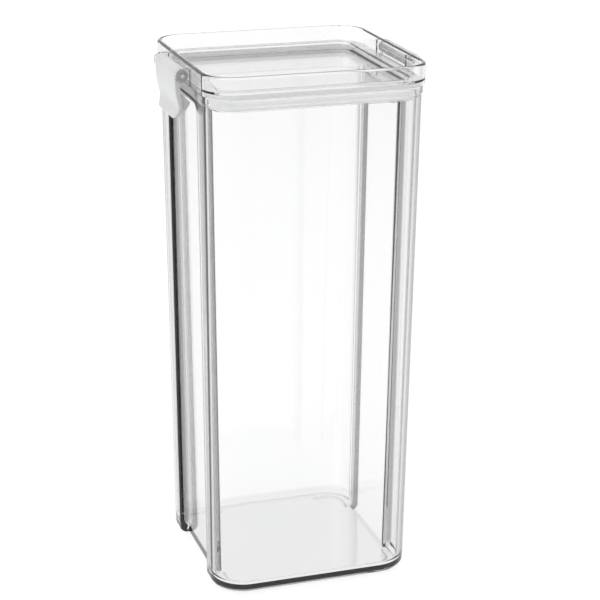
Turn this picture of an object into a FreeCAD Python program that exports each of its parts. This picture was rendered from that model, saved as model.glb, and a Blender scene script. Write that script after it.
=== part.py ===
import FreeCAD, Part
import math
import os

os.makedirs("parts", exist_ok=True)
V = FreeCAD.Vector

# ---------------------------------------------------------------- dimensions, mm
# frame: origin at the centre of the base on the resting plane, +Z up,
# front wall towards -Y, latch on -X, hinge on +X

# canister body
FOOT_H = 0.8            # height of the corner ridges under the base
RIM_Z = 245.2           # top of the body rim
HALF_BASE = 49.4        # outer half width at the base
HALF_TOP = 51.9         # outer half width at the rim
R_BASE = 16.5           # outer corner radius at the base
R_TOP = 14.4            # outer corner radius at the rim
WALL = 2.4              # wall thickness
FLOOR_TOP = 3.8         # top of the floor
BASE_FILLET = 3.0       # bottom outside edge
INNER_FILLET = 3.5      # bottom inside edge
BEAD_Z = 241.3          # underside of the rim bead
BEAD_OUT = 0.45         # how far the bead stands out

# grip recesses in the two side walls
REC_HALF_Y = 25.0       # half width of a recess
REC_X0 = 44.8           # panel plane at the base
REC_X1 = 47.8           # panel plane at the top
REC_Z1 = 235.0          # where the panel meets the sloped roof
ROOF_X = 51.9           # outer end of the sloped roof
ROOF_Z = 239.0
REC_CORNER = 6.0        # top corners of the recess, seen from the side
REC_FILLET = 1.4        # concave edges
COL_FILLET = 1.1        # convex edges of the corner columns

# base ridges
RIDGE_W = 1.2
RIDGE_X = 41.5
RIDGE_Y = 41.3
RIDGE_R = 8.0
RIDGE_TAIL_Y = 27.0
RIDGE_TAIL_X = 28.0

# lid
LID_HALF = 53.0
LID_R = 14.3
LID_WALL = 1.9
SKIRT_Z = 245.5
LID_TOP = 255.5
LEDGE_TOP = 248.3
LEDGE_BOT = 247.2
PLUG_OUT = 46.8
PLUG_IN = 45.2
PLUG_BOT = 238.6
PAN_TOP = 244.9
PAN_BOT = 243.1
RETAIN_OUT = 47.4       # small bead under the gasket sleeve
RETAIN_TOP = 239.3

# gasket
GASKET_FLANGE = 50.8
GASKET_FLANGE_BOT = 245.5
GASKET_SLEEVE = 47.9
GASKET_LIP = 48.8
GASKET_LIPS = (243.4, 240.8)
GASKET_LIP_R = 11.4     # corner radius of the lips
GASKET_GAP = 0.05       # play between gasket and lid

# hinge and latch axes, both parallel to Y
AXIS_X = 56.6
AXIS_Z = 250.4
KNUCKLE_R = 3.15
EAR_R = 3.2
EAR_IN = 18.4
EAR_OUT = 20.6
PIN_R = 1.0
RUN_R = 1.06            # running bore
HOLD_R = 1.02           # bore that holds a pin
KNUCKLE_HALF = 18.05    # half length of the latch and bracket knuckles

# latch
LATCH_CORNER = 8.0
LATCH_BOT = 229.3
CATCH_HALF = 17.4


# ---------------------------------------------------------------- helpers
def rr_wire(hx, hy, r, z):
    k = r * (1.0 - math.sqrt(0.5))
    pts = [
        (V(hx, -hy + r, z), V(hx, hy - r, z), V(hx - k, hy - k, z), V(hx - r, hy, z)),
        (V(hx - r, hy, z), V(-hx + r, hy, z), V(-hx + k, hy - k, z), V(-hx, hy - r, z)),
        (V(-hx, hy - r, z), V(-hx, -hy + r, z), V(-hx + k, -hy + k, z), V(-hx + r, -hy, z)),
        (V(-hx + r, -hy, z), V(hx - r, -hy, z), V(hx - k, -hy + k, z), V(hx, -hy + r, z)),
    ]
    edges = []
    for a, b, m, c in pts:
        edges.append(Part.makeLine(a, b))
        edges.append(Part.Arc(b, m, c).toShape())
    return Part.Wire(edges)


def rr_prism(half, z0, z1, outer_half=LID_HALF, outer_r=LID_R):
    r = outer_r - (outer_half - half)
    face = Part.Face(rr_wire(half, half, r, z0))
    return face.extrude(V(0, 0, z1 - z0))


def rr_loft(levels):
    return Part.makeLoft([rr_wire(h, h, r, z) for h, r, z in levels], True, True)


def poly_xz(points, y0, y1):
    wire = Part.makePolygon([V(x, y0, z) for x, z in points] + [V(points[0][0], y0, points[0][1])])
    return Part.Face(wire).extrude(V(0, y1 - y0, 0))


def cyl_y(x, z, r, y0, y1):
    return Part.makeCylinder(r, y1 - y0, V(x, y0, z), V(0, 1, 0))


def fillet(shape, test, r, label):
    edges = [e for e in shape.Edges if test(e)]
    if not edges:
        print("no edges for", label)
        return shape
    try:
        out = shape.makeFillet(r, edges)
        if out.isValid() and out.Volume > 0 and abs(out.Volume / shape.Volume - 1) < 0.25:
            return out
    except Exception:
        pass
    print("no fillet for", label)
    return shape


def one(shape):
    s = shape.Solids
    s = sorted(s, key=lambda q: -q.Volume)
    return s[0]


def half_at(z):
    return HALF_BASE + (HALF_TOP - HALF_BASE) * z / RIM_Z


def rad_at(z):
    return R_BASE + (R_TOP - R_BASE) * z / RIM_Z


def rec_x(z):
    return REC_X0 + (REC_X1 - REC_X0) * z / REC_Z1


def flat_z(e, z):
    b = e.BoundBox
    return abs(b.ZMin - z) < 1e-4 and abs(b.ZMax - z) < 1e-4


# ---------------------------------------------------------------- canister body
def recess(side, off):
    # off moves every wall of the recess into the plastic by that much
    slope = V(ROOF_X - REC_X1, 0, ROOF_Z - REC_Z1)
    slope.normalize()
    nx, nz = -slope.z, slope.x
    p0 = (rec_x(-6) - off, -6.0)
    # panel line moved by off, roof line moved by off along its normal
    ax, az = REC_X1 + nx * off, REC_Z1 + nz * off
    # meeting point of the two moved lines
    dx = (REC_X1 - REC_X0) / REC_Z1
    t = ((REC_X0 - off) + dx * az - ax) / (slope.x - dx * slope.z)
    m = (ax + slope.x * t, az + slope.z * t)
    far = 14.0
    q = (ax + slope.x * far, az + slope.z * far)
    pts = [p0, m, q, (q[0] + 4, q[1]), (q[0] + 4, -6.0)]
    hy = REC_HALF_Y + off
    block = poly_xz([(side * x, z) for x, z in pts], -hy, hy)
    top = ROOF_Z + 0.2 + off * 0.9
    rc = REC_CORNER + off
    x0, x1 = side * 35.0, side * 75.0
    c = rc * (1 - math.sqrt(0.5))
    wire = Part.Wire([
        Part.makeLine(V(x0, -hy, -6), V(x0, hy, -6)),
        Part.makeLine(V(x0, hy, -6), V(x0, hy, top - rc)),
        Part.Arc(V(x0, hy, top - rc), V(x0, hy - c, top - c), V(x0, hy - rc, top)).toShape(),
        Part.makeLine(V(x0, hy - rc, top), V(x0, -hy + rc, top)),
        Part.Arc(V(x0, -hy + rc, top), V(x0, -hy + c, top - c), V(x0, -hy, top - rc)).toShape(),
        Part.makeLine(V(x0, -hy, top - rc), V(x0, -hy, -6)),
    ])
    window = Part.Face(wire).extrude(V(x1 - x0, 0, 0))
    out = block.common(window)
    out = one(out)

    def inner_edge(e):
        b = e.BoundBox
        xin = min(abs(b.XMin), abs(b.XMax))
        xo = max(abs(b.XMin), abs(b.XMax))
        return xo < REC_X1 - off + 1.2 and b.ZMax > 0 and (b.ZMax - b.ZMin > 200)

    return fillet(out, inner_edge, REC_FILLET if off == 0 else REC_FILLET + 0.8, "recess %d %.1f" % (side, off))


def ridge(sx, sy):
    xo, yo, r, w = RIDGE_X, RIDGE_Y, RIDGE_R, RIDGE_W
    cx, cy = xo - r, yo - r
    z0, z1 = 0.0, FOOT_H + 0.6

    def arc(rad):
        a = V(cx + rad, cy, z0)
        b = V(cx + rad * math.sqrt(0.5), cy + rad * math.sqrt(0.5), z0)
        c = V(cx, cy + rad, z0)
        return a, b, c

    a0, b0, c0 = arc(r + w / 2)
    a1, b1, c1 = arc(r - w / 2)
    t0, t1 = V(a0.x, RIDGE_TAIL_Y, z0), V(a1.x, RIDGE_TAIL_Y, z0)
    u0, u1 = V(RIDGE_TAIL_X, c0.y, z0), V(RIDGE_TAIL_X, c1.y, z0)
    wire = Part.Wire([
        Part.makeLine(t0, a0), Part.Arc(a0, b0, c0).toShape(), Part.makeLine(c0, u0),
        Part.makeLine(u0, u1), Part.makeLine(u1, c1), Part.Arc(c1, b1, a1).toShape(),
        Part.makeLine(a1, t1), Part.makeLine(t1, t0),
    ])
    s = Part.Face(wire).extrude(V(0, 0, z1 - z0))
    if sx < 0:
        s = s.mirror(V(0, 0, 0), V(1, 0, 0))
    if sy < 0:
        s = s.mirror(V(0, 0, 0), V(0, 1, 0))
    return s


outer = rr_loft([(half_at(FOOT_H), rad_at(FOOT_H), FOOT_H), (half_at(RIM_Z), rad_at(RIM_Z), RIM_Z)])
outer = fillet(outer, lambda e: flat_z(e, FOOT_H), BASE_FILLET, "base edge")
bead = rr_loft([
    (half_at(BEAD_Z) - 0.6, rad_at(BEAD_Z) - 0.6, BEAD_Z - 1.2),
    (HALF_TOP + BEAD_OUT, R_TOP + BEAD_OUT, BEAD_Z),
])
bead_top = rr_prism(HALF_TOP + BEAD_OUT, BEAD_Z, RIM_Z, HALF_TOP, R_TOP)
bead_top = fillet(bead_top, lambda e: flat_z(e, RIM_Z), 0.7, "rim edge")
outer = outer.cut(recess(1, 0.0)).cut(recess(-1, 0.0))
outer = one(outer)


def column_edge(e):
    b = e.BoundBox
    tall = b.ZMax - b.ZMin > 200
    ylim = abs(abs(b.YMin) - REC_HALF_Y) < 0.02 and abs(abs(b.YMax) - REC_HALF_Y) < 0.02
    xo = max(abs(b.XMin), abs(b.XMax))
    return tall and ylim and xo > half_at(200)


outer = fillet(outer, column_edge, COL_FILLET, "column edges")
outer = outer.fuse(bead).fuse(bead_top)
for sx in (1, -1):
    for sy in (1, -1):
        outer = outer.fuse(ridge(sx, sy))
outer = outer.removeSplitter()

inner = rr_loft([
    (half_at(FLOOR_TOP) - WALL, rad_at(FLOOR_TOP) - WALL, FLOOR_TOP),
    (half_at(RIM_Z) - WALL, rad_at(RIM_Z) - WALL, RIM_Z),
    (half_at(RIM_Z) - WALL, rad_at(RIM_Z) - WALL, RIM_Z + 2),
])
inner = fillet(inner, lambda e: flat_z(e, FLOOR_TOP), INNER_FILLET, "floor edge")
inner = one(inner.cut(recess(1, WALL)).cut(recess(-1, WALL)))
body = one(outer.cut(inner))
chamfer = rr_loft([
    (half_at(RIM_Z) - WALL - 0.05, rad_at(RIM_Z) - WALL - 0.05, RIM_Z - 0.75),
    (half_at(RIM_Z) - WALL + 0.65, rad_at(RIM_Z) - WALL + 0.65, RIM_Z + 0.01),
])
body = one(body.cut(chamfer))

# ---------------------------------------------------------------- lid cover
shell = rr_prism(LID_HALF, SKIRT_Z, LID_TOP)
shell = fillet(shell, lambda e: flat_z(e, LID_TOP), 1.1, "lid top outer edge")
shell = shell.cut(rr_prism(LID_HALF - LID_WALL, LEDGE_TOP, LID_TOP + 1))
shell = fillet(shell, lambda e: flat_z(e, LID_TOP) and max(e.BoundBox.XMax, e.BoundBox.YMax) < LID_HALF - LID_WALL + 0.01
               and max(abs(e.BoundBox.XMin), abs(e.BoundBox.YMin)) < LID_HALF - LID_WALL + 0.01, 0.6, "lid top inner edge")
shell = shell.cut(rr_prism(LID_HALF - LID_WALL, SKIRT_Z - 1, LEDGE_BOT))
shell = shell.cut(rr_prism(PLUG_IN, LEDGE_BOT - 1, LEDGE_TOP + 1))
plug = rr_prism(PLUG_OUT, PLUG_BOT, LEDGE_TOP)
plug = plug.cut(rr_prism(PLUG_IN, PAN_TOP, LEDGE_TOP + 1))
plug = plug.cut(rr_prism(PLUG_IN, PLUG_BOT - 1, PAN_BOT))
retain = rr_prism(RETAIN_OUT, PLUG_BOT, RETAIN_TOP).cut(rr_prism(PLUG_IN, PLUG_BOT - 1, RETAIN_TOP + 1))
lid = shell.fuse(plug).fuse(retain).removeSplitter()
lid = fillet(lid, lambda e: flat_z(e, LEDGE_TOP) and max(e.BoundBox.XMax, -e.BoundBox.XMin) < PLUG_IN + 0.01
             and max(e.BoundBox.YMax, -e.BoundBox.YMin) < PLUG_IN + 0.01, 0.6, "ledge edge")
lid = fillet(lid, lambda e: flat_z(e, PAN_TOP), 1.0, "pan floor edge")


def ear(side, y0, y1, hole):
    s = side
    plate = poly_xz([(s * 52.4, SKIRT_Z), (s * 54.6, SKIRT_Z), (s * (AXIS_X + EAR_R * 0.93), AXIS_Z - EAR_R * 0.36),
                     (s * AXIS_X, AXIS_Z + EAR_R * 0.2), (s * AXIS_X, AXIS_Z + EAR_R), (s * 52.4, AXIS_Z + EAR_R)], y0, y1)
    e = plate.fuse(cyl_y(s * AXIS_X, AXIS_Z, EAR_R, y0, y1))
    return e.cut(cyl_y(s * AXIS_X, AXIS_Z, hole, y0 - 1, y1 + 1))


for side, hole in ((-1, HOLD_R), (1, RUN_R)):
    for y0, y1 in ((EAR_IN, EAR_OUT), (-EAR_OUT, -EAR_IN)):
        e = ear(side, y0, y1, hole)
        # nothing of the ear reaches inside the lid wall
        e = e.cut(rr_prism(LID_HALF - LID_WALL, SKIRT_Z - 1, LID_TOP + 1))
        lid = lid.fuse(e)
lid = one(lid.removeSplitter())

# ---------------------------------------------------------------- gasket
g = rr_prism(GASKET_FLANGE, GASKET_FLANGE_BOT, LEDGE_BOT - GASKET_GAP)
g = g.fuse(rr_prism(GASKET_SLEEVE, RETAIN_TOP + GASKET_GAP, LEDGE_BOT - GASKET_GAP))
for z in GASKET_LIPS:
    lip = Part.makeLoft([
        rr_wire(GASKET_SLEEVE - 0.2, GASKET_SLEEVE - 0.2, LID_R - (LID_HALF - GASKET_SLEEVE + 0.2), z - 0.9),
        rr_wire(GASKET_LIP, GASKET_LIP, GASKET_LIP_R, z - 0.15),
        rr_wire(GASKET_LIP, GASKET_LIP, GASKET_LIP_R, z + 0.25),
        rr_wire(GASKET_SLEEVE - 0.2, GASKET_SLEEVE - 0.2, LID_R - (LID_HALF - GASKET_SLEEVE + 0.2), z + 0.7),
    ], True, True)
    g = g.fuse(lip)
g = g.cut(rr_prism(PLUG_OUT + GASKET_GAP, PLUG_BOT - 2, LEDGE_BOT + 2))
gasket = one(g.removeSplitter())


# ---------------------------------------------------------------- latch
def spline(points, y):
    c = Part.BSplineCurve()
    c.interpolate([V(x, y, z) for x, z in points])
    return c.toShape()


LATCH_OUT = [(-59.75, 250.4), (-59.7, 246.0), (-59.3, 241.7), (-58.5, 238.2), (-58.0, 235.6), (-58.4, 232.9), (-59.7, 230.3)]
LATCH_IN = [(-57.9, 229.5), (-56.5, 232.4), (-55.9, 235.4), (-56.2, 238.2), (-56.9, 241.7), (-57.2, 245.0), (-56.6, 248.3)]


def latch_plate(hy):
    y = -hy
    e = [
        spline(LATCH_OUT, y),
        Part.makeLine(V(-59.7, y, 230.3), V(-59.2, y, LATCH_BOT)),
        Part.makeLine(V(-59.2, y, LATCH_BOT), V(-57.9, y, 229.5)),
        spline(LATCH_IN, y),
        Part.makeLine(V(-56.6, y, 248.3), V(-56.6, y, 250.4)),
        Part.makeLine(V(-56.6, y, 250.4), V(-59.75, y, 250.4)),
    ]
    return Part.Face(Part.Wire(e)).extrude(V(0, 2 * hy, 0))


def tongue_window(hy, r, x0, x1):
    k = r * (1 - math.sqrt(0.5))
    zb = LATCH_BOT - 0.05
    zt = AXIS_Z + 10
    w = Part.Wire([
        Part.makeLine(V(x0, -hy, zt), V(x0, -hy, zb + r)),
        Part.Arc(V(x0, -hy, zb + r), V(x0, -hy + k, zb + k), V(x0, -hy + r, zb)).toShape(),
        Part.makeLine(V(x0, -hy + r, zb), V(x0, hy - r, zb)),
        Part.Arc(V(x0, hy - r, zb), V(x0, hy - k, zb + k), V(x0, hy, zb + r)).toShape(),
        Part.makeLine(V(x0, hy, zb + r), V(x0, hy, zt)),
        Part.makeLine(V(x0, hy, zt), V(x0, -hy, zt)),
    ])
    return Part.Face(w).extrude(V(x1 - x0, 0, 0))


latch = latch_plate(KNUCKLE_HALF)
latch = latch.fuse(poly_xz([(-57.2, 241.6), (-56.6, 241.0), (-53.0, 238.3), (-52.5, 237.8), (-52.45, 237.2), (-52.8, 236.4), (-55.0, 233.0), (-57.4, 229.9), (-58.2, 230.6), (-57.4, 235.6)],
                           -CATCH_HALF, CATCH_HALF))
latch = latch.common(tongue_window(KNUCKLE_HALF, LATCH_CORNER, -66.0, -50.0))
latch = one(latch.fuse(cyl_y(-AXIS_X, AXIS_Z, KNUCKLE_R, -KNUCKLE_HALF, KNUCKLE_HALF)).removeSplitter())


def latch_rim(e):
    c = e.CenterOfMass
    p = e.valueAt((e.FirstParameter + e.LastParameter) / 2)
    return p.x < -57.3 and p.z < 249.0 and (abs(abs(p.y) - KNUCKLE_HALF) < 0.01 and e.BoundBox.ZLength > 1.0
                                              or (p.z < LATCH_BOT + LATCH_CORNER and p.x < -58.6 and abs(c.y) > 1.0))


LATCH_EDGE = 0.45       # rounding of the latch's outer edges
latch = fillet(latch, latch_rim, LATCH_EDGE, "latch edges")
latch = latch.cut(cyl_y(-AXIS_X, AXIS_Z, RUN_R, -KNUCKLE_HALF - 1, KNUCKLE_HALF + 1))
latch = one(latch.removeSplitter())

# ---------------------------------------------------------------- hinge bracket
BR_OUT = [(59.75, 250.4), (59.5, 246.0), (58.7, 241.7), (57.0, 237.6), (54.0, 234.0), (50.4, 231.6), (47.2, 230.6)]
e = [
    spline(BR_OUT, -KNUCKLE_HALF),
    Part.makeLine(V(47.2, -KNUCKLE_HALF, 230.6), V(46.8, -KNUCKLE_HALF, 235.4)),
    Part.makeLine(V(46.8, -KNUCKLE_HALF, 235.4), V(51.6, -KNUCKLE_HALF, 240.2)),
    Part.makeLine(V(51.6, -KNUCKLE_HALF, 240.2), V(51.6, -KNUCKLE_HALF, 244.0)),
    Part.makeLine(V(51.6, -KNUCKLE_HALF, 244.0), V(54.4, -KNUCKLE_HALF, 245.2)),
    Part.makeLine(V(54.4, -KNUCKLE_HALF, 245.2), V(54.4, -KNUCKLE_HALF, 250.4)),
    Part.makeLine(V(54.4, -KNUCKLE_HALF, 250.4), V(59.75, -KNUCKLE_HALF, 250.4)),
]
bracket = Part.Face(Part.Wire(e)).extrude(V(0, 2 * KNUCKLE_HALF, 0))
bracket = bracket.fuse(cyl_y(AXIS_X, AXIS_Z, KNUCKLE_R, -KNUCKLE_HALF, KNUCKLE_HALF))
shifted = body.copy()
shifted.translate(V(0.05, 0, 0))
bracket = bracket.cut(shifted)
bracket = bracket.cut(cyl_y(AXIS_X, AXIS_Z, HOLD_R, -KNUCKLE_HALF - 1, KNUCKLE_HALF + 1))
bracket = one(bracket.removeSplitter())

# ---------------------------------------------------------------- pins
latch_pin = cyl_y(-AXIS_X, AXIS_Z, PIN_R, -EAR_OUT + 0.2, EAR_OUT - 0.2)
hinge_pin = cyl_y(AXIS_X, AXIS_Z, PIN_R, -EAR_OUT + 0.2, EAR_OUT - 0.2)

NODES = {
    "canister_body": body,
    "lid_cover": lid,
    "lid_gasket": gasket,
    "latch_clip": latch,
    "latch_pin": latch_pin,
    "hinge_bracket": bracket,
    "hinge_pin": hinge_pin,
}
for name, shape in NODES.items():
    s = one(shape)
    if not s.isValid():
        print("not valid:", name)
    print(name, "volume", round(s.Volume, 1), "solids", len(shape.Solids))
    s.exportStep("parts/%s.step" % name)
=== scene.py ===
import math

import bmesh
import bpy
from mathutils import Matrix, Vector


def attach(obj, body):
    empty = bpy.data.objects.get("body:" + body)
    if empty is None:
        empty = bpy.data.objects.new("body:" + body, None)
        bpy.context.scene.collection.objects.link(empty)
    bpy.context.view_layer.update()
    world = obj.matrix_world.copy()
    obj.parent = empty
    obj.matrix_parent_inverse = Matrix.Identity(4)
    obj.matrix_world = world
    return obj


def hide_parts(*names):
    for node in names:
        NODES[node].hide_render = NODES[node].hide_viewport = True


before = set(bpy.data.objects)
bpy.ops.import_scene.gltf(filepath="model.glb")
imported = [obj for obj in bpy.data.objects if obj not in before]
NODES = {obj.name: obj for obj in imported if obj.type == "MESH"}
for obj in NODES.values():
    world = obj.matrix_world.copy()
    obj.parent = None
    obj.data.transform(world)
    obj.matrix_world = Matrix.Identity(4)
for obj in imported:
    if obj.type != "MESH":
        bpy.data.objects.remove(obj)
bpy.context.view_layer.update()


scene = bpy.context.scene


# ---------------------------------------------------------------- materials
def new_mat(name):
    m = bpy.data.materials.new(name)
    m.use_nodes = True
    nt = m.node_tree
    return m, nt, nt.nodes["Principled BSDF"]


def noise(nt, scale, detail=4.0, rough=0.55, stretch=(1, 1, 1)):
    tc = nt.nodes.new("ShaderNodeTexCoord")
    mp = nt.nodes.new("ShaderNodeMapping")
    mp.inputs["Scale"].default_value = stretch
    n = nt.nodes.new("ShaderNodeTexNoise")
    n.inputs["Scale"].default_value = scale
    n.inputs["Detail"].default_value = detail
    n.inputs["Roughness"].default_value = rough
    nt.links.new(tc.outputs["Object"], mp.inputs["Vector"])
    nt.links.new(mp.outputs["Vector"], n.inputs["Vector"])
    return n.outputs["Fac"]


def remap(nt, fac, lo, hi, a=0.3, b=0.7):
    r = nt.nodes.new("ShaderNodeMapRange")
    r.inputs["From Min"].default_value = a
    r.inputs["From Max"].default_value = b
    r.inputs["To Min"].default_value = lo
    r.inputs["To Max"].default_value = hi
    nt.links.new(fac, r.inputs["Value"])
    return r.outputs["Result"]


def ramp(nt, fac, c0, c1, p0=0.35, p1=0.65):
    r = nt.nodes.new("ShaderNodeValToRGB")
    r.color_ramp.elements[0].position = p0
    r.color_ramp.elements[1].position = p1
    r.color_ramp.elements[0].color = (*c0, 1)
    r.color_ramp.elements[1].color = (*c1, 1)
    nt.links.new(fac, r.inputs["Fac"])
    return r.outputs["Color"]


def bump(nt, bsdf, fac, strength, distance):
    b = nt.nodes.new("ShaderNodeBump")
    b.inputs["Strength"].default_value = strength
    b.inputs["Distance"].default_value = distance
    nt.links.new(fac, b.inputs["Height"])
    nt.links.new(b.outputs["Normal"], bsdf.inputs["Normal"])


# painted shade stops (facing value, grey) for the rounded corner columns of the body and the lid
BODY_CORNER_SHADE_STOPS = [(0.0, 1.0), (0.36, 1.0), (0.50, 0.74), (0.62, 0.30), (0.80, 0.08), (1.0, 0.03)]
LID_CORNER_SHADE_STOPS = [(0.0, 1.0), (0.68, 1.0), (0.78, 0.88), (0.86, 0.5), (0.93, 0.3), (1.0, 0.15)]


def clear_plastic(name, absorb, density, c0, c1, wave, corner_shade_stops, step_shade):
    m, nt, p = new_mat(name)
    p.inputs["Transmission Weight"].default_value = 1.0
    p.inputs["IOR"].default_value = 1.57
    p.inputs["Specular IOR Level"].default_value = 0.3
    tint = ramp(nt, noise(nt, 9.0, 3.0), c0, c1)
    # painted shade: the base colour is darkened towards grazing view angles by this Layer Weight facing ramp,
    # standing in for the dark refracted edge lines of the clear plastic
    lw = nt.nodes.new("ShaderNodeLayerWeight")
    lw.inputs["Blend"].default_value = 0.5
    edge = nt.nodes.new("ShaderNodeValToRGB")
    cr = edge.color_ramp
    stops = [(0.0, 1.0), (0.70, 0.985), (0.78, 0.80), (0.87, 0.38), (1.0, 0.12)]
    cr.elements[0].position, cr.elements[1].position = stops[0][0], stops[-1][0]
    cr.elements[0].color = (stops[0][1],) * 3 + (1,)
    cr.elements[1].color = (stops[-1][1],) * 3 + (1,)
    for pos, val in stops[1:-1]:
        cr.elements.new(pos).color = (val, val, val, 1)
    nt.links.new(lw.outputs["Facing"], edge.inputs["Fac"])
    # painted shade: the rounded corner columns are darkened towards their outline by a second facing ramp, masked to
    # the corners by place, standing in for the dark refracted lines there
    edge2 = nt.nodes.new("ShaderNodeValToRGB")
    cr = edge2.color_ramp
    stops = corner_shade_stops
    cr.elements[0].position, cr.elements[1].position = stops[0][0], stops[-1][0]
    cr.elements[0].color = (stops[0][1],) * 3 + (1,)
    cr.elements[1].color = (stops[-1][1],) * 3 + (1,)
    for pos, val in stops[1:-1]:
        cr.elements.new(pos).color = (val, val, val, 1)
    nt.links.new(lw.outputs["Facing"], edge2.inputs["Fac"])
    tc = nt.nodes.new("ShaderNodeTexCoord")
    sep = nt.nodes.new("ShaderNodeSeparateXYZ")
    nt.links.new(tc.outputs["Object"], sep.inputs["Vector"])

    def band(axis, lo, hi):
        a = nt.nodes.new("ShaderNodeMath")
        a.operation = "ABSOLUTE"
        nt.links.new(sep.outputs[axis], a.inputs[0])
        r = nt.nodes.new("ShaderNodeMapRange")
        r.interpolation_type = "SMOOTHSTEP"
        r.inputs["From Min"].default_value = lo
        r.inputs["From Max"].default_value = hi
        nt.links.new(a.outputs[0], r.inputs["Value"])
        return r.outputs["Result"]

    def times(a, b):
        n = nt.nodes.new("ShaderNodeMath")
        n.operation = "MULTIPLY"
        nt.links.new(a, n.inputs[0])
        nt.links.new(b, n.inputs[1])
        return n.outputs[0]

    corner = times(band("X", 0.034, 0.038), band("Y", 0.034, 0.038))
    both = nt.nodes.new("ShaderNodeMix")
    both.data_type = "RGBA"
    nt.links.new(corner, both.inputs["Factor"])
    nt.links.new(edge.outputs["Color"], both.inputs["A"])
    nt.links.new(edge2.outputs["Color"], both.inputs["B"])
    # painted shade: the stepped edges of the grip recesses are set to a grey, standing in for the dark refracted
    # lines there
    step = times(times(band("Y", 0.0243, 0.0250), band("X", 0.0415, 0.0435)), band("Y", 0.0283, 0.0274))
    rim = nt.nodes.new("ShaderNodeMix")
    rim.data_type = "RGBA"
    nt.links.new(step, rim.inputs["Factor"])
    nt.links.new(both.outputs["Result"], rim.inputs["A"])
    rim.inputs["B"].default_value = (step_shade, step_shade, step_shade, 1)
    # the bottom edge stays light, because it takes in light from what it stands on
    foot = nt.nodes.new("ShaderNodeMix")
    foot.data_type = "RGBA"
    nt.links.new(band("Z", 0.0075, 0.0035), foot.inputs["Factor"])
    nt.links.new(rim.outputs["Result"], foot.inputs["A"])
    foot.inputs["B"].default_value = (0.93, 0.93, 0.93, 1)
    mul = nt.nodes.new("ShaderNodeMix")
    mul.data_type = "RGBA"
    mul.blend_type = "MULTIPLY"
    mul.inputs["Factor"].default_value = 1.0
    nt.links.new(tint, mul.inputs["A"])
    nt.links.new(foot.outputs["Result"], mul.inputs["B"])
    nt.links.new(mul.outputs["Result"], p.inputs["Base Color"])
    nt.links.new(remap(nt, noise(nt, 60.0, 5.0), 0.004, 0.022), p.inputs["Roughness"])
    bump(nt, p, noise(nt, 14.0, 1.0, 0.3, (1, 1, 0.25)), wave, 0.0003)
    v = nt.nodes.new("ShaderNodeVolumeAbsorption")
    v.inputs["Color"].default_value = (*absorb, 1)
    v.inputs["Density"].default_value = density
    nt.links.new(v.outputs["Volume"], nt.nodes["Material Output"].inputs["Volume"])
    return m


# the last number of each call is the grey of the painted shade on the grip recess steps
BODY_CLEAR = clear_plastic("clear_body", (0.30, 0.31, 0.31), 5.0, (0.968, 0.970, 0.971), (0.980, 0.981, 0.982), 0.010, BODY_CORNER_SHADE_STOPS, 0.36)
LID_CLEAR = clear_plastic("clear_lid", (0.30, 0.31, 0.31), 5.0, (0.972, 0.974, 0.975), (0.984, 0.985, 0.986), 0.012, LID_CORNER_SHADE_STOPS, 0.97)


def silicone():
    m, nt, p = new_mat("silicone")
    nt.links.new(ramp(nt, noise(nt, 45.0, 4.0), (0.90, 0.905, 0.91), (0.94, 0.945, 0.95)), p.inputs["Base Color"])
    nt.links.new(remap(nt, noise(nt, 260.0, 4.0), 0.34, 0.48), p.inputs["Roughness"])
    p.inputs["IOR"].default_value = 1.41
    p.inputs["Subsurface Weight"].default_value = 0.3
    # painted light: the gasket glows with a white emission so that it reads bright
    p.inputs["Emission Color"].default_value = (1, 1, 1, 1)
    p.inputs["Emission Strength"].default_value = 0.30
    p.inputs["Subsurface Radius"].default_value = (0.004, 0.004, 0.004)
    p.inputs["Subsurface Scale"].default_value = 0.6
    bump(nt, p, noise(nt, 700.0, 3.0), 0.10, 0.0001)
    return m


def latch_white(name, c0, c1, r0, r1):
    m, nt, p = new_mat(name)
    nt.links.new(ramp(nt, noise(nt, 60.0, 4.0), c0, c1), p.inputs["Base Color"])
    nt.links.new(remap(nt, noise(nt, 420.0, 5.0), r0, r1), p.inputs["Roughness"])
    p.inputs["IOR"].default_value = 1.49
    p.inputs["Subsurface Weight"].default_value = 0.2
    p.inputs["Subsurface Radius"].default_value = (0.003, 0.003, 0.003)
    p.inputs["Subsurface Scale"].default_value = 0.5
    bump(nt, p, noise(nt, 1400.0, 4.0), 0.12, 0.00005)
    return m


SILICONE = silicone()
LATCH = latch_white("latch_plastic", (0.74, 0.745, 0.75), (0.78, 0.785, 0.79), 0.26, 0.38)
PIN = latch_white("pin_plastic", (0.74, 0.75, 0.76), (0.79, 0.80, 0.81), 0.22, 0.32)

# ---------------------------------------------------------------- canister shell
MM = 0.001


def half_at(z):
    return 49.4 + 2.5 * z / 245.2


def rad_at(z):
    return 16.5 - 2.1 * z / 245.2


def smax(a, b, k):
    return max(a, b) + max(k - abs(a - b), 0.0) ** 2 / (4 * k)


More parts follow.
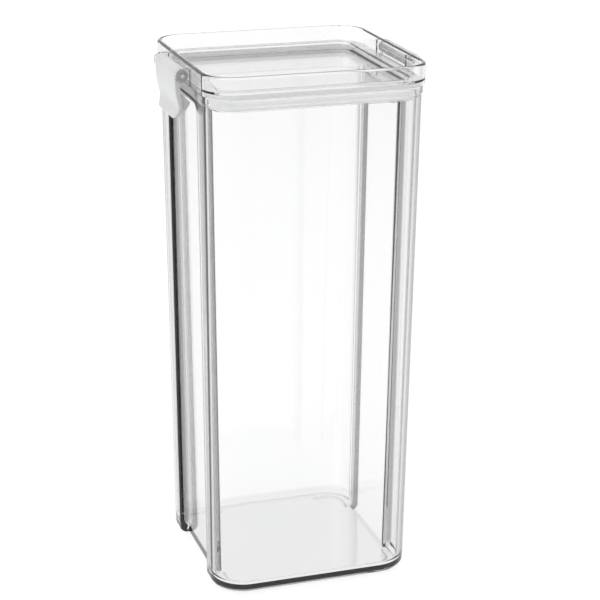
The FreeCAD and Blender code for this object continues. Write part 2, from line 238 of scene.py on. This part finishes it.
def ring(h, r, depth, hy, f1, f2, ref):
    """One level of the wall: a rounded square whose two X sides step in by depth over |y| < hy."""
    step = []
    for i in range(9):
        t = math.radians(90 * i / 8)
        step.append((f1 - f1 * math.sin(t), f1 - f1 * math.cos(t)))
    for i in range(1, 5):
        step.append((-0.01 * i, f1 + (ref - f1 - f2) * i / 5))
    for i in range(9):
        t = math.radians(90 * i / 8)
        step.append((-0.05 - f2 * (1 - math.cos(t)), ref - f2 + f2 * math.sin(t)))
    side = []
    far = h - r
    y0 = hy + f1
    for i in range(5):
        side.append((h, -(far + (y0 + 0.15 - far) * i / 5)))
    for dy, u in step:
        side.append((h - depth * u / ref, -(hy + dy)))
    yin = hy - 0.05 - f2
    for i in range(1, 12):
        side.append((h - depth, -yin + 2 * yin * i / 12))
    for dy, u in reversed(step):
        side.append((h - depth * u / ref, hy + dy))
    for i in range(5, 0, -1):
        side.append((h, far + (y0 + 0.15 - far) * (i - 1) / 5))
    out = list(side)

    def arc(cx, cy, a0):
        for i in range(1, 24):
            a = math.radians(a0 + 90 * i / 24)
            out.append((cx + r * math.cos(a), cy + r * math.sin(a)))

    arc(far, far, 0)
    for i in range(9):
        out.append((far - 2 * far * i / 8, h))
    arc(-far, far, 90)
    return out + [(-x, -y) for x, y in out]


def shell_mesh():
    rings = []

    def outer(z, inset=0.0, grow=None, rgrow=None, xin=0.0):
        h = (half_at(z) if grow is None else grow) - inset
        r = (rad_at(z) if rgrow is None else rgrow) - inset
        panel = smax(44.8 + 3.0 * z / 235.0, 47.8 + (z - 235.0) * 1.025, 0.7) - xin
        d = smax(0.0, h - panel, 0.25) if z > 230 else h - panel
        hy = 25.0 if z < 233.2 else 19.0 + math.sqrt(max(36.0 - (z - 233.2) ** 2, 0.0))
        if z > 239.4:
            d = 0.0
        rings.append([(x, y, z) for x, y in ring(h, r, d, hy, 1.1, 1.4, 4.4)])

    def inner(z, inset=0.0, xin=0.0, grow=None, rgrow=None):
        h = (half_at(z) - 2.4 if grow is None else grow) - inset
        r = (rad_at(z) - 2.4 if rgrow is None else rgrow) - inset
        panel = smax(42.4 + 3.0 * z / 235.0, 46.1 + (z - 236.7) * 1.025, 1.2) - xin
        d = smax(0.0, h - panel, 0.25) if z > 230 else h - panel
        hy = 27.4 if z < 232.96 else 19.0 + math.sqrt(max(8.4 ** 2 - (z - 232.96) ** 2, 0.0))
        if z > 240.6:
            d = 0.0
        rings.append([(x, y, z) for x, y in ring(h, r, d, hy, 0.5, 2.2, 4.5)])

    outer(0.8, 3.5, xin=0.5)
    for i in range(11):
        t = math.radians(9 * i)
        outer(0.8 + 3.0 * (1 - math.cos(t)), 3.0 * (1 - math.sin(t)))
    for z in (4.2, 6, 12, 30, 60, 90, 120, 150, 180, 205, 220, 228, 230.5):
        outer(float(z))
    z = 231.2
    while z < 240.2:
        outer(z)
        z += 0.3
    for z, g in ((240.5, 0.0), (240.8, 0.06), (241.0, 0.18), (241.2, 0.34), (241.35, 0.42)):
        outer(z, grow=half_at(z) + g, rgrow=rad_at(z) + g)
    for z in (241.5, 242.5, 243.6, 244.4):
        outer(z, grow=52.35, rgrow=14.85)
    for i in range(7):
        t = math.radians(15 * i)
        outer(244.5 + 0.7 * math.sin(t), grow=52.35 - 0.7 * (1 - math.cos(t)), rgrow=14.85 - 0.7 * (1 - math.cos(t)))
    for g, zz in ((51.0, 245.2), (50.25, 245.2), (50.05, 245.12), (49.75, 244.85), (49.52, 244.55), (49.47, 244.3)):
        inner(zz, grow=g, rgrow=12.0 + (g - 49.47))
    z = 243.9
    while z > 231.4:
        inner(z)
        z -= 0.3
    for z in (231.0, 228, 220, 205, 180, 150, 120, 90, 60, 30, 14, 8.6):
        inner(float(z))
    for i in range(10, -1, -1):
        t = math.radians(9 * i)
        inner(3.8 + 3.5 * (1 - math.cos(t)), 3.5 * (1 - math.sin(t)))
    inner(3.8, 4.0, xin=0.5)

    n = len(rings[0])
    verts = [(x * MM, y * MM, z * MM) for rg in rings for x, y, z in rg]
    faces = []
    for k in range(len(rings) - 1):
        a, b = k * n, (k + 1) * n
        for i in range(n):
            j = (i + 1) % n
            faces.append((a + i, a + j, b + j, b + i))
    faces.append(tuple(reversed(range(n))))
    last = (len(rings) - 1) * n
    faces.append(tuple(range(last, last + n)))
    me = bpy.data.meshes.new("canister_shell")
    me.from_pydata(verts, [], faces)
    me.validate()
    return me


def finish_piece(me, name, mat, body, angle):
    me.materials.clear()
    me.materials.append(mat)
    for poly in me.polygons:
        poly.use_smooth = True
    me.set_sharp_from_angle(angle=math.radians(angle))
    me.update()
    o = bpy.data.objects.new(name, me)
    scene.collection.objects.link(o)
    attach(o, body)
    return o


shell = finish_piece(shell_mesh(), "canister_shell", BODY_CLEAR, "canister", 40)


def ridge_mesh(sx, sy, name):
    """A low rounded ridge that turns one corner under the base."""
    path = [(41.5, 27.0 + 6.3 * i / 4) for i in range(4)]
    for i in range(17):
        a = math.radians(90 * i / 16)
        path.append((33.5 + 8 * math.cos(a), 33.3 + 8 * math.sin(a)))
    path += [(33.5 - 5.5 * i / 4, 41.3) for i in range(1, 5)]
    prof = [(-0.6, 0.79), (-0.6, 0.42), (-0.52, 0.2), (-0.34, 0.05), (-0.12, 0.0), (0.12, 0.0), (0.34, 0.05), (0.52, 0.2), (0.6, 0.42), (0.6, 0.79)]
    verts, faces = [], []
    m = len(prof)
    for i, (px, py) in enumerate(path):
        ax, ay = path[max(i - 1, 0)]
        bx, by = path[min(i + 1, len(path) - 1)]
        tx, ty = bx - ax, by - ay
        ln = math.hypot(tx, ty)
        nx, ny = ty / ln, -tx / ln
        for o, z in prof:
            verts.append(((px + nx * o) * sx * MM, (py + ny * o) * sy * MM, z * MM))
    for i in range(len(path) - 1):
        for j in range(m):
            k = (j + 1) % m
            faces.append((i * m + j, i * m + k, (i + 1) * m + k, (i + 1) * m + j))
    faces.append(tuple(reversed(range(m))))
    e = (len(path) - 1) * m
    faces.append(tuple(range(e, e + m)))
    me = bpy.data.meshes.new(name)
    me.from_pydata(verts, [], faces)
    bm = bmesh.new()
    bm.from_mesh(me)
    bmesh.ops.recalc_face_normals(bm, faces=bm.faces)
    bm.to_mesh(me)
    bm.free()
    return me


ridges = []
for i, (sx, sy) in enumerate(((1, 1), (-1, 1), (-1, -1), (1, -1))):
    name = "base_ridge_%d" % (i + 1)
    ridges.append(finish_piece(ridge_mesh(sx, sy, name), name, BODY_CLEAR, "canister", 35))
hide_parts("canister_body")

for node, mat in {
    "canister_body": BODY_CLEAR,
    "lid_cover": LID_CLEAR,
    "hinge_bracket": LID_CLEAR,
    "lid_gasket": SILICONE,
    "latch_clip": LATCH,
    "latch_pin": PIN,
    "hinge_pin": PIN,
}.items():
    o = NODES[node]
    for s in o.material_slots:
        s.material = mat


# ---------------------------------------------------------------- floor
# painted light: strength of the floor's emission pool
FLOOR_GLOW = 0.86
FLOOR_BASE = 0.0


def floor():
    me = bpy.data.meshes.new("floor")
    s = 6.0
    me.from_pydata([(-s, -s, -0.0003), (s, -s, -0.0003), (s, s, -0.0003), (-s, s, -0.0003)], [], [(0, 1, 2, 3)])
    o = bpy.data.objects.new("floor", me)
    scene.collection.objects.link(o)
    m, nt, p = new_mat("floor")
    nt.links.new(ramp(nt, noise(nt, 1.2, 2.0), (0.24, 0.24, 0.24), (0.25, 0.25, 0.25)), p.inputs["Base Color"])
    # painted light: the floor glows by emission, brightest along the sweep behind the object and softer to its
    # sides, a painted pool of light
    tc = nt.nodes.new("ShaderNodeTexCoord")
    rot = nt.nodes.new("ShaderNodeMapping")
    rot.vector_type = "POINT"
    rot.inputs["Rotation"].default_value = (0, 0, math.radians(18.241))
    nt.links.new(tc.outputs["Object"], rot.inputs["Vector"])
    sep = nt.nodes.new("ShaderNodeSeparateXYZ")
    nt.links.new(rot.outputs["Vector"], sep.inputs["Vector"])

    def math_node(op, a, b):
        n = nt.nodes.new("ShaderNodeMath")
        n.operation = op
        for i, v in enumerate((a, b)):
            if isinstance(v, (int, float)):
                n.inputs[i].default_value = v
            elif v is not None:
                nt.links.new(v, n.inputs[i])
        return n.outputs[0]

    lat = math_node("ABSOLUTE", sep.outputs["X"], None)
    widen = math_node("MULTIPLY", math_node("MAXIMUM", sep.outputs["Y"], 0.0), 0.16)
    side = math_node("SUBTRACT", lat, widen)
    fs = nt.nodes.new("ShaderNodeMapRange")
    fs.interpolation_type = "SMOOTHSTEP"
    for k, v in (("From Min", 0.16), ("From Max", 1.1), ("To Min", 1.0), ("To Max", 0.62)):
        fs.inputs[k].default_value = v
    nt.links.new(side, fs.inputs["Value"])
    fb = nt.nodes.new("ShaderNodeMapRange")
    fb.interpolation_type = "SMOOTHSTEP"
    for k, v in (("From Min", -1.1), ("From Max", -0.14), ("To Min", 0.62), ("To Max", 1.0)):
        fb.inputs[k].default_value = v
    nt.links.new(sep.outputs["Y"], fb.inputs["Value"])
    em = math_node("MULTIPLY", fs.outputs["Result"], fb.outputs["Result"])
    em = math_node("MULTIPLY_ADD", em, FLOOR_GLOW)
    em.node.inputs[2].default_value = FLOOR_BASE
    nt.links.new(em, p.inputs["Emission Strength"])
    p.inputs["Emission Color"].default_value = (1, 1, 1, 1)
    p.inputs["Roughness"].default_value = 0.8
    p.inputs["Specular IOR Level"].default_value = 0.1
    me.materials.append(m)


floor()

# ---------------------------------------------------------------- light
world = bpy.data.worlds.new("studio")
scene.world = world
world.use_nodes = True
wn = world.node_tree
bg = wn.nodes["Background"]
# bright behind and above, greyer at the sides and behind the camera
wt = wn.nodes.new("ShaderNodeTexCoord")
dot = wn.nodes.new("ShaderNodeVectorMath")
dot.operation = "DOT_PRODUCT"
dot.inputs[1].default_value = (0.26, 0.80, 0.54)
wn.links.new(wt.outputs["Generated"], dot.inputs[0])
wr = wn.nodes.new("ShaderNodeMapRange")
wr.interpolation_type = "SMOOTHSTEP"
for k, v in (("From Min", -0.25), ("From Max", 0.65), ("To Min", 0.50), ("To Max", 1.0)):
    wr.inputs[k].default_value = v
wn.links.new(dot.outputs["Value"], wr.inputs["Value"])
wn.links.new(wr.outputs["Result"], bg.inputs["Strength"])
bg.inputs["Color"].default_value = (1, 1, 1, 1)

key = bpy.data.lights.new("key", "AREA")
key.shape = "RECTANGLE"
key.size, key.size_y = 1.0, 0.8
key.energy = 3.5
ko = bpy.data.objects.new("key", key)
scene.collection.objects.link(ko)
ko.location = (-1.15, -0.75, 0.75)
ko.rotation_euler = (Vector((0, 0, 0.12)) - ko.location).to_track_quat("-Z", "Y").to_euler()

# ---------------------------------------------------------------- camera
cam = bpy.data.cameras.new("camera")
cam.sensor_width = 36.0
cam.lens = 112.664
cam.clip_start = 0.05
cam.clip_end = 50.0
co = bpy.data.objects.new("camera", cam)
scene.collection.objects.link(co)
AZ, EL, ROLL, DIST = math.radians(-18.241), math.radians(18.997), math.radians(0.306), 0.923035
target = Vector((0.006321, -0.000692, 0.13078))
back = Vector((math.sin(AZ) * math.cos(EL), -math.cos(AZ) * math.cos(EL), math.sin(EL)))
fwd = -back
right = fwd.cross(Vector((0, 0, 1))).normalized()
up = right.cross(fwd)
x = right * math.cos(ROLL) + up * math.sin(ROLL)
y = -right * math.sin(ROLL) + up * math.cos(ROLL)
m = Matrix((x, y, back)).transposed().to_4x4()
m.translation = target + back * DIST
co.matrix_world = m
scene.camera = co
scene.view_settings.view_transform = "Standard"
